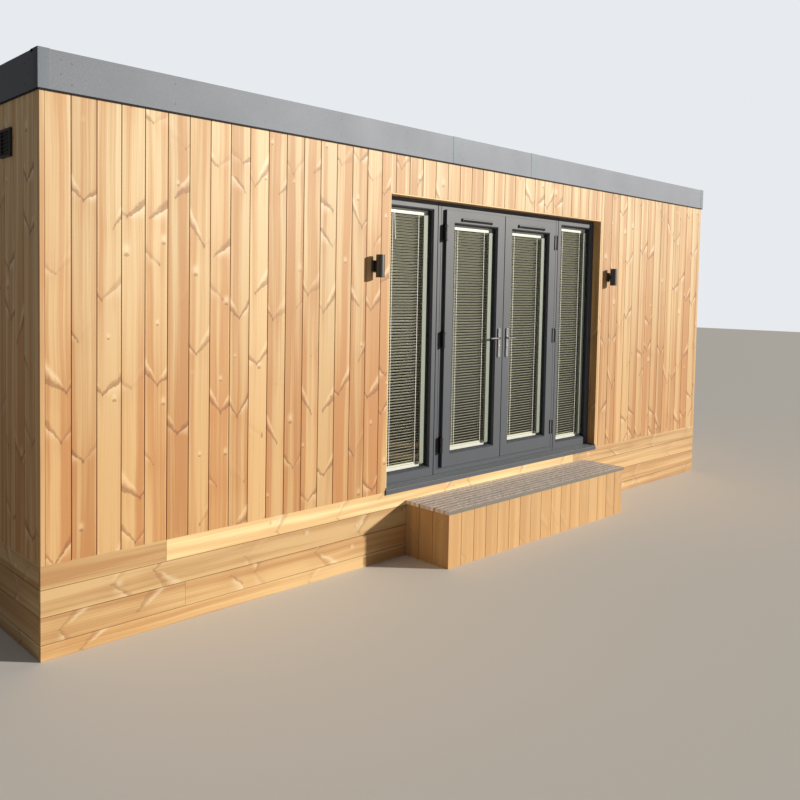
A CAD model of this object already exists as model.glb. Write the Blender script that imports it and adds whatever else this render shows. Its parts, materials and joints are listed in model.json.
"""Looks of a timber-clad garden office pod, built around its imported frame.

Every length is in metres, in the frame's own axes: X along the front, Y from front to back,
Z up from the ground.
"""

from __future__ import annotations

import json
import logging
import math
import random
from dataclasses import dataclass, field
from enum import Enum
from typing import Callable, Sequence

import bpy
import numpy as np
from mathutils import Matrix, Vector

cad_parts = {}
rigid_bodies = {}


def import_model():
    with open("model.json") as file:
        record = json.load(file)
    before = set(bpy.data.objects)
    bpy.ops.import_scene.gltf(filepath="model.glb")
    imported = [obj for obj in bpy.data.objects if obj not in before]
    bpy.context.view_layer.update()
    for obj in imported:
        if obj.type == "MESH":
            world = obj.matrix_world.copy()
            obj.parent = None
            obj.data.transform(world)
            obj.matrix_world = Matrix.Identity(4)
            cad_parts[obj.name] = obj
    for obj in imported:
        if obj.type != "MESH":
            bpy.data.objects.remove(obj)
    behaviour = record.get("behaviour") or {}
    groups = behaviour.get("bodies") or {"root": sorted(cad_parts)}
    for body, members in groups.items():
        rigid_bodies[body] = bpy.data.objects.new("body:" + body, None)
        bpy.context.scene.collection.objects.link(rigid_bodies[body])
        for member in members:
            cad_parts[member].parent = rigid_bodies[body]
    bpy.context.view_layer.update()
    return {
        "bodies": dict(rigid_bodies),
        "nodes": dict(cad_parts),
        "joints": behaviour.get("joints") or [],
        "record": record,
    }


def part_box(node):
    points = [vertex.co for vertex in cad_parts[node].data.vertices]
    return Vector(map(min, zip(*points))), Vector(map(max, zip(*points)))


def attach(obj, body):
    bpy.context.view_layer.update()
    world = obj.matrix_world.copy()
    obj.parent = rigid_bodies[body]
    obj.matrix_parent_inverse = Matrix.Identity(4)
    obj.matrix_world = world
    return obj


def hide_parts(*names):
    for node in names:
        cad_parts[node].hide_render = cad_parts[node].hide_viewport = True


LOG = logging.getLogger("pod")
Colour = tuple[float, float, float]
Pair = tuple[float, float]
Place = Sequence[float]
Object = bpy.types.Object
Material = bpy.types.Material
WHITE: Colour = (1.0, 1.0, 1.0)
DAMP_FOOT: Colour = (0.88, 0.73, 0.57)
CLOSE = 1e-5
NOWHERE = Vector((0.0, 0.0, 0.0))
Test = Callable[[Vector, Vector], bool]


class Axis(Enum):
    """An axis of the frame."""

    X = 0
    Y = 1
    Z = 2


class Side(Enum):
    """A side of the cabin: the axis its boards run across, and the way it faces along the other one."""

    FRONT = (Axis.X, Axis.Y, -1)
    BACK = (Axis.X, Axis.Y, 1)
    LEFT = (Axis.Y, Axis.X, -1)
    RIGHT = (Axis.Y, Axis.X, 1)

    @property
    def run(self) -> Axis:
        """The axis along the wall."""
        return self.value[0]

    @property
    def depth(self) -> Axis:
        """The axis through the wall."""
        return self.value[1]

    @property
    def outward(self) -> int:
        """The sign of the outward direction along the depth axis."""
        return self.value[2]


class Grain(Enum):
    """Where a timber finish takes its grain from."""

    BOARDS = "boards"
    UPRIGHT = "upright"
    LEVEL = "level"


class Value:
    """A value in a material's node tree. Plain arithmetic on it adds the maths nodes."""

    def __init__(self, sheet: NodeSheet, socket: bpy.types.NodeSocket) -> None:
        """Keeps the sheet and the socket that carries the value."""
        self.sheet = sheet
        self.socket = socket

    def __add__(self, other: object) -> Value:
        """Adds a number or another value."""
        return self.sheet.math("ADD", self, other)

    def __sub__(self, other: object) -> Value:
        """Takes a number or another value away."""
        return self.sheet.math("SUBTRACT", self, other)

    def __rsub__(self, other: float) -> Value:
        """Takes the value away from a number."""
        return self.sheet.math("SUBTRACT", other, self)

    def __mul__(self, other: object) -> Value:
        """Multiplies by a number or another value."""
        return self.sheet.math("MULTIPLY", self, other)

    def __truediv__(self, other: object) -> Value:
        """Divides by a number or another value."""
        return self.sheet.math("DIVIDE", self, other)

    def whole(self) -> Value:
        """Returns the next whole number below."""
        return self.sheet.math("FLOOR", self)

    def part(self) -> Value:
        """Returns what is left over a whole number."""
        return self.sheet.math("FRACT", self)

    def larger(self, other: Value) -> Value:
        """Returns the larger of two values."""
        return self.sheet.math("MAXIMUM", self, other)

    def bell(self, width: object) -> Value:
        """Returns 1 where the value is 0, falling off smoothly over about width."""
        ratio = self / width
        return self.sheet.math("POWER", math.e, ratio * ratio * -1.0)

    def step(self, low: float, high: float) -> Value:
        """Returns a smooth step from 0 at low to 1 at high."""
        inputs = {"Value": self, "From Min": low, "From Max": high}
        return self.sheet.value("MapRange", inputs, "Result", interpolation_type="SMOOTHSTEP")

    def grey(self, low: float, high: float) -> Value:
        """Returns a value from 0 to 1 stretched between two numbers."""
        return self.sheet.value("MapRange", {"Value": self, "To Min": low, "To Max": high}, "Result")

    def split(self) -> tuple[Value, Value, Value]:
        """Returns the three parts of a vector or a colour."""
        parts = self.sheet.node("SeparateXYZ", {"Vector": self}).outputs
        return Value(self.sheet, parts[0]), Value(self.sheet, parts[1]), Value(self.sheet, parts[2])


class NodeSheet:
    """A material's node tree, with short calls for the nodes that the finishes use."""

    def __init__(self, name: str) -> None:
        """Starts a material with one Principled shader.

        Args:
            name: The material's name.
        """
        self.material = bpy.data.materials.new(name)
        self.material.use_nodes = True
        self.tree = self.material.node_tree
        self.shader = self.tree.nodes["Principled BSDF"]

    def feed(self, target: bpy.types.NodeSocket, value: object) -> None:
        """Links a value to an input, or sets the input's own value."""
        if isinstance(value, Value):
            self.tree.links.new(value.socket, target)
        elif isinstance(value, tuple) and target.type == "RGBA":
            target.default_value = (*value, 1.0)
        else:
            target.default_value = value

    def node(self, kind: str, inputs: dict[str | int, object], **settings: object) -> bpy.types.Node:
        """Adds a node.

        Args:
            kind: The node's type name without its ShaderNode prefix.
            inputs: What each input gets, by its name or its place.
            **settings: Properties of the node.

        Returns:
            The new node.
        """
        made = self.tree.nodes.new("ShaderNode" + kind)
        for key, value in settings.items():
            setattr(made, key, value)
        for key, value in inputs.items():
            self.feed(made.inputs[key], value)
        return made

    def value(
        self, kind: str, inputs: dict[str | int, object], output: str | int = 0, **settings: object
    ) -> Value:
        """Adds a node and returns the output of a name or place."""
        return Value(self, self.node(kind, inputs, **settings).outputs[output])

    def math(self, operation: str, *values: object) -> Value:
        """Adds a maths node and returns its result."""
        return self.value("Math", dict(enumerate(values)), operation=operation)

    def reach(self, across: Value, along: Value, share: float = 1.0) -> Value:
        """Returns the distance from two parts, with a share of the second one's square."""
        return self.math("SQRT", across * across + (along * along * share if share != 1.0 else along * along))

    def vector(self, x: object, y: object, z: object) -> Value:
        """Returns a vector of three values."""
        return self.value("CombineXYZ", {"X": x, "Y": y, "Z": z})

    def place(self) -> Value:
        """Returns the object coordinates, which are the frame's own metres."""
        return self.value("TexCoord", {}, "Object")

    def noise(self, vector: Value, scale: float = 1.0, detail: float = 2.0, roughness: float = 0.5) -> Value:
        """Returns a noise round 0.5, with a scale in blobs for each metre and with octaves of finer noise."""
        inputs = {"Vector": vector, "Scale": scale, "Detail": detail, "Roughness": roughness}
        return self.value("TexNoise", inputs, "Fac")

    def streaks(self, across: Value, along: Value, key: object, size: Pair, *finer: float) -> Value:
        """Returns a noise drawn out as grain is, with blobs for each metre across and along, and a key."""
        return self.noise(self.vector(across * size[0], along * size[1], key), 1.0, *finer)

    def cells(self, row: Value, scatter: float) -> Value:
        """Returns the middle of the cell that a place in a row belongs to."""
        inputs = {"W": row, "Scale": 1.0, "Randomness": scatter}
        return self.value("TexVoronoi", inputs, "W", voronoi_dimensions="1D")

    def dice(self, value: Value, dimensions: str = "1D") -> tuple[Value, Value, Value]:
        """Returns three random numbers that stay the same for the same value."""
        key = "W" if dimensions == "1D" else "Vector"
        return self.value("TexWhiteNoise", {key: value}, "Color", noise_dimensions=dimensions).split()

    def mix(self, share: object, first: object, second: object, blend: str = "MIX") -> Value:
        """Returns a mix of two colours, the first at a share of 0 and the second at 1."""
        inputs = {0: share, 6: first, 7: second}
        return self.value("Mix", inputs, 2, data_type="RGBA", blend_type=blend, clamp_factor=True)

    def shaded(self, colour: object, light: Value) -> Value:
        """Returns a colour made lighter or darker by a value round 1."""
        return self.mix(1.0, colour, self.value("CombineColor", {0: light, 1: light, 2: light}), "MULTIPLY")

    def ramp(self, value: Value, stops: Sequence[tuple[float, Colour]]) -> Value:
        """Returns a colour from a ramp.

        Args:
            value: The place on the ramp.
            stops: Pairs of a place and its colour, in order.

        Returns:
            The colour at that place.
        """
        made = self.node("ValToRGB", {"Fac": value})
        elements = made.color_ramp.elements
        while len(elements) < len(stops):
            elements.new(0.5)
        for element, (at, colour) in zip(elements, stops):
            element.position = at
            element.color = (*colour, 1.0)
        return Value(self, made.outputs["Color"])

    def bump(self, height: Value, distance: float, strength: float = 1.0) -> None:
        """Gives the shader a bumpy surface, with the real height of a step from 0 to 1."""
        inputs = {"Height": height, "Distance": distance, "Strength": strength}
        self.feed(self.shader.inputs["Normal"], self.value("Bump", inputs))

    def finish(self, **sockets: object) -> Material:
        """Sets the shader's sockets and returns the material.

        Args:
            **sockets: What each input gets, with an underscore for each space in its name.

        Returns:
            The finished material.
        """
        for key, value in sockets.items():
            self.feed(self.shader.inputs[key.replace("_", " ")], value)
        return self.material


@dataclass(frozen=True)
class Whorls:
    """Winged knots, where a board was sawn through a whorl of branches. Sizes are in metres."""

    spacing: float = 0.50
    scatter: float = 0.8
    off_middle: float = 0.085
    other_side: float = 7.7
    ragged_size: Pair = (34.0, 16.0)
    ragged: float = 0.050
    slope: Pair = (0.40, 1.45)
    some: Pair = (0.20, 0.24)
    strength: Pair = (0.05, 0.60)
    fibre_size: Pair = (240.0, 34.0)
    thickness: Pair = (0.24, 0.009)
    fibre_length: Pair = (0.6, 1.8)
    fade: Pair = (1.5, 0.6)
    near_edge: Pair = (-0.0045, 0.0020)
    fibre_tone: Pair = (0.20, 1.0)
    flame_tone: Pair = (0.50, 1.0)
    flame_below: Pair = (0.55, 0.003)
    below_edge: Pair = (0.001, -0.004)
    flame_above: Pair = (0.25, 0.003)
    above_in: float = 2.6
    above_chance: Pair = (0.52, 0.62)
    flame_start: Pair = (0.004, 0.042)
    core: Pair = (0.0025, 0.0070)
    core_flat: float = 0.40
    core_share: float = 0.75
    bow: float = 0.085

    def draw(
        self, sheet: NodeSheet, across: Value, along: Value, shift: Value, knots: float
    ) -> tuple[Value, Value, Value, Value]:
        """Draws the knots.

        Args:
            sheet: The material's sheet.
            across: The place across the board.
            along: The place along it.
            shift: The board's own offset.
            knots: Strength of the finish's knots.

        Returns:
            How much of each point is wing, pale flame and knot core, and how much the grain bows there.
        """
        row = along * (1.0 / self.spacing) + shift
        centre = sheet.cells(row, self.scatter)
        chance, place, lean = sheet.dice(centre)
        offside = across - (place - 0.5) * self.off_middle
        side = sheet.math("GREATER_THAN", offside, 0.0)
        steep, strength, turn = sheet.dice(sheet.vector(centre, side * self.other_side, 0.0), "2D")
        reach = sheet.math("ABSOLUTE", offside)
        ragged = sheet.streaks(across, along, shift, self.ragged_size, 4.0, 0.62)
        rise = (row - centre) * self.spacing + (ragged - 0.5) * self.ragged
        gap = rise - reach * steep.grey(*self.slope)
        present = chance.step(*self.some)
        shown = present * strength.step(*self.strength) * knots
        fibres = sheet.streaks(gap, reach, centre, self.fibre_size, 3.0)
        thick = reach * self.thickness[0] + self.thickness[1]
        fade = (gap / (thick * fibres.grey(*self.fibre_length))).step(*self.fade)
        wing = fade * gap.step(*self.near_edge) * fibres.grey(*self.fibre_tone) * shown
        below = sheet.math("MINIMUM", gap, 0.0).bell(reach * self.flame_below[0] + self.flame_below[1])
        below = below * gap.step(*self.below_edge)
        above = (gap - thick * self.above_in).bell(reach * self.flame_above[0] + self.flame_above[1])
        flame = below + turn.step(*self.above_chance) * (above - below)
        flame = flame * shown * reach.step(*self.flame_start) * fibres.grey(*self.flame_tone)
        bulge = sheet.reach(offside, rise, self.core_flat)
        core = bulge.bell(lean.grey(*self.core)) * present * knots * self.core_share
        return wing, flame, core, rise.bell(self.bow) * present


@dataclass(frozen=True)
class Eyes:
    """Small round knots, each with a pale patch over it. Sizes are in metres."""

    per_metre: float = 1.9
    own: float = 1.7
    scatter: float = 0.9
    other_draw: float = 0.31
    some: Pair = (0.76, 0.80)
    off_middle: float = 0.11
    flat: float = 1.35
    radius: Pair = (0.0045, 0.0130)
    ring: float = 0.0030
    lower_half: Pair = (0.006, -0.006)
    disc_edge: Pair = (0.75, 1.1)
    disc_share: float = 0.62
    share: float = 0.85
    patch_up: float = 2.3
    patch_flat: float = 0.6
    patch_size: float = 1.6
    patch_share: float = 0.75

    def draw(
        self, sheet: NodeSheet, across: Value, along: Value, shift: Value, knots: float
    ) -> tuple[Value, Value]:
        """Draws the knots.

        Args:
            sheet: The material's sheet.
            across: The place across the board.
            along: The place along it.
            shift: The board's own offset.
            knots: Strength of the finish's knots.

        Returns:
            How much of each point is knot and pale patch.
        """
        row = along * self.per_metre + shift * self.own
        centre = sheet.cells(row, self.scatter)
        chance, place, size = sheet.dice(centre + self.other_draw)
        shown = chance.step(*self.some) * knots
        offside = across - (place - 0.5) * self.off_middle
        rise = (row - centre) * (1.0 / self.per_metre)
        reach = sheet.reach(offside, rise * self.flat)
        radius = size.grey(*self.radius)
        ring = (reach - radius).bell(self.ring) * rise.step(*self.lower_half)
        disc = (1.0 - (reach / radius).step(*self.disc_edge)) * self.disc_share
        halo = sheet.reach(offside, rise - radius * self.patch_up, self.patch_flat)
        patch = halo.bell(radius * self.patch_size) * shown * self.patch_share
        return ring.larger(disc) * shown * self.share, patch


@dataclass(frozen=True)
class Timber:
    """Planed softwood with soft growth lines and knots."""

    name: str
    sap: Colour = (0.715, 0.555, 0.325)
    mid: Colour = (0.635, 0.442, 0.232)
    heart: Colour = (0.560, 0.315, 0.138)
    wing: Colour = (0.275, 0.130, 0.060)
    knot: Colour = (0.17, 0.09, 0.045)
    flame: Colour = (0.90, 0.80, 0.60)
    flame_share: float = 0.72
    foot_tint: Colour = WHITE
    foot_to_top: Pair = (0.8, 2.9)
    grain: Grain = Grain.BOARDS
    knots: float = 1.0
    spread: float = 0.6
    own_shift: float = 91.7
    sway: float = 0.035
    line_size: Pair = (110.0, 0.9)
    fine_size: Pair = (460.0, 5.0)
    band_size: Pair = (19.0, 0.40)
    band_edge: Pair = (0.34, 0.66)
    band_tone: Pair = (0.20, 0.80)
    line_tone: float = 1.05
    bow_tone: float = -0.08
    relief: float = 0.0004
    gloss: Pair = (0.60, 0.48)

    def coordinates(self, sheet: NodeSheet) -> tuple[Value, Value, Value]:
        """Returns the place across the board and along it, and the board's own number."""
        if self.grain is Grain.BOARDS:
            across, along, _ = sheet.value("Attribute", {}, "Vector", attribute_name="grain").split()
            return across, along, sheet.value("Attribute", {}, "Fac", attribute_name="board")
        x, y, z = sheet.place().split()
        along, across = (x, z + y * 0.7) if self.grain is Grain.LEVEL else (z, x + y)
        return across, along, ((across * 3.1).whole() * 0.37).part()

    def paint(self) -> Material:
        """Returns the timber's material."""
        sheet = NodeSheet(self.name)
        across, along, board = self.coordinates(sheet)
        shift = board * self.own_shift
        wander = sheet.noise(sheet.vector(shift, along * 1.3, 0.0))
        swayed = across + (wander - 0.5) * self.sway
        wing, flame, core, bow = Whorls().draw(sheet, across, along, shift, self.knots)
        eye, patch = Eyes().draw(sheet, across, along, shift, self.knots)

        growth = sheet.streaks(swayed, along, shift, self.line_size, 3.0, 0.58)
        fine = sheet.streaks(swayed, along, shift, self.fine_size)
        bands = sheet.streaks(swayed, along, shift, self.band_size, 1.0, 0.4).step(*self.band_edge)
        own = (board * 7.31).part() - 0.5
        tone = bands.grey(*self.band_tone) + (growth - 0.5) * self.line_tone + bow * self.bow_tone
        tone = tone + own * (0.5 * self.spread)
        colour = sheet.ramp(tone, ((0.18, self.heart), (0.5, self.mid), (0.82, self.sap)))
        colour = sheet.mix(flame.larger(patch) * self.flame_share, colour, self.flame)
        colour = sheet.mix(wing.larger(eye), colour, self.wing)
        colour = sheet.mix(core, colour, self.knot)
        height = sheet.place().split()[2]
        aged = sheet.mix(height.step(*self.foot_to_top), self.foot_tint, WHITE)
        colour = sheet.mix(1.0, colour, aged, "MULTIPLY")
        shade = (board * 3.77).part().grey(1.0 - 0.14 * self.spread, 1.0 + 0.06 * self.spread)
        colour = sheet.shaded(colour, shade * fine.grey(0.93, 1.07))
        sheet.bump(growth * 0.5 + fine * 0.5, self.relief, 0.5)
        return sheet.finish(Base_Color=colour, Roughness=growth.grey(*self.gloss), Specular_IOR_Level=0.5)


@dataclass(frozen=True)
class CoatedMetal:
    """Painted or powder-coated metal with a fine grain in its coat."""

    name: str
    colour: Colour
    roughness: float = 0.4
    grain: float = 900.0
    depth: float = 0.00008
    fleck: float = 0.12
    cloud: float = 0.08
    gloss: float = 0.5
    metallic: float = 0.0
    handled: float = 0.06

    def paint(self) -> Material:
        """Returns the coat's material."""
        sheet = NodeSheet(self.name)
        place = sheet.place()
        grain = sheet.noise(place, self.grain, 3.0, 0.6)
        cloud = sheet.noise(place, 2.3, 3.0)
        light = grain.grey(1.0 - self.fleck, 1.0 + self.fleck) + cloud.grey(-self.cloud, self.cloud)
        sheet.bump(grain, self.depth)
        return sheet.finish(
            Base_Color=sheet.shaded(self.colour, light), Metallic=self.metallic, Specular_IOR_Level=self.gloss,
            Roughness=cloud.grey(self.roughness - self.handled, self.roughness + self.handled),
        )


@dataclass(frozen=True)
class SmoothSurface:
    """A smooth surface with slight handling marks, such as plastic, chrome or paint."""

    name: str
    colour: Colour
    roughness: float = 0.3
    metallic: float = 0.0
    marks: float = 0.06

    def paint(self) -> Material:
        """Returns the surface's material."""
        sheet = NodeSheet(self.name)
        cloud = sheet.noise(sheet.place(), 14.0, 3.0)
        colour = sheet.shaded(self.colour, cloud.grey(1.0 - self.marks, 1.0 + self.marks))
        rough = cloud.grey(self.roughness * 0.85, self.roughness * 1.15)
        return sheet.finish(Base_Color=colour, Roughness=rough, Metallic=self.metallic)


@dataclass(frozen=True)
class SealedGlass:
    """Clear glass that shows what stands behind it through a faint greenish veil of the light."""

    name: str
    colour: Colour = (0.115, 0.130, 0.115)
    cover: float = 0.045
    ripple: float = 0.002

    def paint(self) -> Material:
        """Returns the glass's material."""
        sheet = NodeSheet(self.name)
        sheet.bump(sheet.noise(sheet.place(), 1.7, 1.0), self.ripple, 0.15)
        return sheet.finish(Base_Color=self.colour, Roughness=0.02, Alpha=self.cover, IOR=1.52)


@dataclass(frozen=True)
class GroovedComposite:
    """Grey composite decking, brushed along its length."""

    name: str
    colour: Colour = (0.80, 0.70, 0.645)
    row: float = 0.048
    streak_size: Pair = (9.0, 260.0)
    dash_size: Pair = (24.0, 20.0)
    relief: float = 0.0008

    def paint(self) -> Material:
        """Returns the decking's material."""
        sheet = NodeSheet(self.name)
        x, y, z = sheet.place().split()
        streak = sheet.streaks(x, y, z, self.streak_size, 4.0, 0.7)
        dash = sheet.streaks(x, y, 4.0, self.dash_size, 1.0)
        rows = sheet.math("SINE", y * (2 * math.pi / self.row))
        light = streak.grey(0.74, 1.26) + rows * dash.step(0.38, 0.62).grey(0.05, 0.45)
        sheet.bump(streak, self.relief, 0.8)
        return sheet.finish(Base_Color=sheet.shaded(self.colour, light), Roughness=0.5)


@dataclass(frozen=True)
class RubberSheet:
    """Roofing membrane: matte, dusty and slightly slack."""

    name: str
    colour: Colour = (0.055, 0.056, 0.06)
    dust: Colour = (0.16, 0.155, 0.145)
    slack: float = 0.004

    def paint(self) -> Material:
        """Returns the membrane's material."""
        sheet = NodeSheet(self.name)
        place = sheet.place()
        dusty = sheet.noise(place, 1.4, 5.0, 0.6).grey(-0.2, 0.55)
        sheet.bump(sheet.noise(place, 3.1), self.slack, 0.5)
        return sheet.finish(Base_Color=sheet.mix(dusty, self.colour, self.dust), Roughness=0.82)


@dataclass(frozen=True)
class LaminateFloor:
    """Pale oak floor laid in long strips along the cabin."""

    name: str
    strip: float = 0.19
    length: float = 1.2
    seam: Colour = (0.10, 0.06, 0.03)
    oak: tuple[tuple[float, Colour], ...] = (
        (0.25, (0.30, 0.19, 0.10)),
        (0.55, (0.44, 0.30, 0.17)),
        (0.85, (0.55, 0.40, 0.25)),
    )

    def paint(self) -> Material:
        """Returns the floor's material."""
        sheet = NodeSheet(self.name)
        x, y, _ = sheet.place().split()
        across = y * (1.0 / self.strip)
        row = across.whole()
        along = x * (1.0 / self.length) + row * 0.37
        cell = {"Vector": sheet.vector(along.whole(), row, 0.0)}
        strip = sheet.value("TexWhiteNoise", cell, "Value", noise_dimensions="3D")
        grain = sheet.streaks(x, y, strip * 30.0, (2.0, 60.0), 4.0)
        seam = sheet.math("PINGPONG", across, 0.5).step(0.0, 0.012)
        colour = sheet.mix(seam, self.seam, sheet.ramp(grain * 0.7 + strip * 0.3, self.oak))
        return sheet.finish(Base_Color=colour, Roughness=0.38)


class Paintbox:
    """All the finishes of the pod, made once."""

    def __init__(self) -> None:
        """Mixes every finish."""
        self.boards = Timber("oiled_cladding", foot_tint=DAMP_FOOT).paint()
        self.skirting = Timber(
            "oiled_skirting", (0.66, 0.45, 0.215), (0.56, 0.350, 0.155), (0.465, 0.255, 0.100),
            knots=0.6, spread=0.8,
        ).paint()
        self.risers = Timber(
            "riser_timber", (0.62, 0.390, 0.178), (0.585, 0.350, 0.150), (0.545, 0.315, 0.128),
            knots=0.15, spread=0.4,
        ).paint()
        self.fresh = Timber(
            "fresh_timber", (0.88, 0.70, 0.38), (0.82, 0.61, 0.31), (0.70, 0.47, 0.22), knots=0.5
        ).paint()
        self.tongues = Timber(
            "tongue_timber", (0.30, 0.125, 0.050), (0.26, 0.100, 0.038), (0.20, 0.070, 0.025),
            foot_tint=DAMP_FOOT, knots=0.0,
        ).paint()
        self.strips = Timber("corner_timber", foot_tint=DAMP_FOOT, grain=Grain.UPRIGHT, knots=0.35).paint()
        self.lining = Timber(
            "lining_timber", (0.78, 0.48, 0.20), (0.64, 0.36, 0.14), (0.48, 0.24, 0.085), knots=0.4
        ).paint()
        self.structure = Timber(
            "sawn_timber", (0.42, 0.33, 0.19), (0.33, 0.25, 0.13), (0.24, 0.17, 0.08),
            grain=Grain.LEVEL, knots=0.8,
        ).paint()
        self.fascia = CoatedMetal(
            "fascia_coat", (0.160, 0.174, 0.202), 0.64, 420.0, 0.0006, 0.34, 0.10, metallic=0.8
        ).paint()
        self.trim = CoatedMetal(
            "fascia_trim_coat", (0.122, 0.140, 0.164), 0.60, 420.0, 0.0004, 0.18, 0.06, metallic=0.8
        ).paint()
        self.frames = CoatedMetal(
            "anthracite_coat", (0.062, 0.074, 0.096), 0.48, 1500.0, 0.00004, 0.05, 0.05
        ).paint()
        self.sill = CoatedMetal("sill_coat", (0.150, 0.175, 0.192), 0.42, 1500.0, 0.00004, 0.05, 0.05).paint()
        self.black = CoatedMetal("black_coat", (0.010, 0.010, 0.012), 0.60, gloss=0.15).paint()
        self.barrel = CoatedMetal("barrel_coat", (0.012, 0.012, 0.014), 0.24, gloss=0.8).paint()
        self.lamp = CoatedMetal("lamp_coat", (0.026, 0.024, 0.025), 0.36, gloss=1.0).paint()
        self.vent = SmoothSurface("black_plastic", (0.012, 0.012, 0.012), 0.5).paint()
        self.chrome = SmoothSurface("chrome", (0.62, 0.63, 0.65), 0.13, 1.0, 0.03).paint()
        self.steel = SmoothSurface("screw_steel", (0.42, 0.42, 0.43), 0.28, 1.0, 0.05).paint()
        self.rubber = SmoothSurface("black_rubber", (0.010, 0.010, 0.011), 0.55).paint()
        self.lens = SmoothSurface("frosted_lens", (0.62, 0.63, 0.64), 0.45, marks=0.03).paint()
        self.slats = SmoothSurface("cream_enamel", (0.78, 0.81, 0.64), 0.34).paint()
        self.blind_frame = SmoothSurface("white_plastic", (0.90, 0.93, 0.89), 0.36).paint()
        self.channel = SmoothSurface("pale_channel", (0.27, 0.32, 0.27), 0.5).paint()
        self.cords = SmoothSurface("white_cord", (0.95, 0.95, 0.92), 0.5).paint()
        self.plaster = SmoothSurface("white_paint", (0.50, 0.49, 0.46), 0.8).paint()
        self.glass = SealedGlass("sealed_glass").paint()
        self.decking = GroovedComposite("composite_decking").paint()
        self.grooves = GroovedComposite("composite_grooves", (0.085, 0.072, 0.066)).paint()
        self.deck_edge = SmoothSurface("composite_edge", (0.175, 0.170, 0.145), 0.6).paint()
        self.membrane = RubberSheet("roof_membrane").paint()
        self.floor = LaminateFloor("oak_floor").paint()


@dataclass(frozen=True)
class Rect:
    """An upright rectangle, across the front and up."""

    x0: float
    x1: float
    z0: float
    z1: float

    def grown(self, by: float) -> Rect:
        """Returns the rectangle with every side moved out."""
        return Rect(self.x0 - by, self.x1 + by, self.z0 - by, self.z1 + by)

    @staticmethod
    def about(x: float, z: float, width: float, height: float) -> Rect:
        """Returns the rectangle round a point."""
        return Rect(x - width / 2, x + width / 2, z - height / 2, z + height / 2)

    @property
    def width(self) -> float:
        """Its width."""
        return self.x1 - self.x0

    @property
    def height(self) -> float:
        """Its height."""
        return self.z1 - self.z0

    def at(self, y: float) -> Vector:
        """Returns its middle at a depth."""
        return Vector(((self.x0 + self.x1) / 2, y, (self.z0 + self.z1) / 2))


Steps = Sequence[tuple[Rect, float]]


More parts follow.
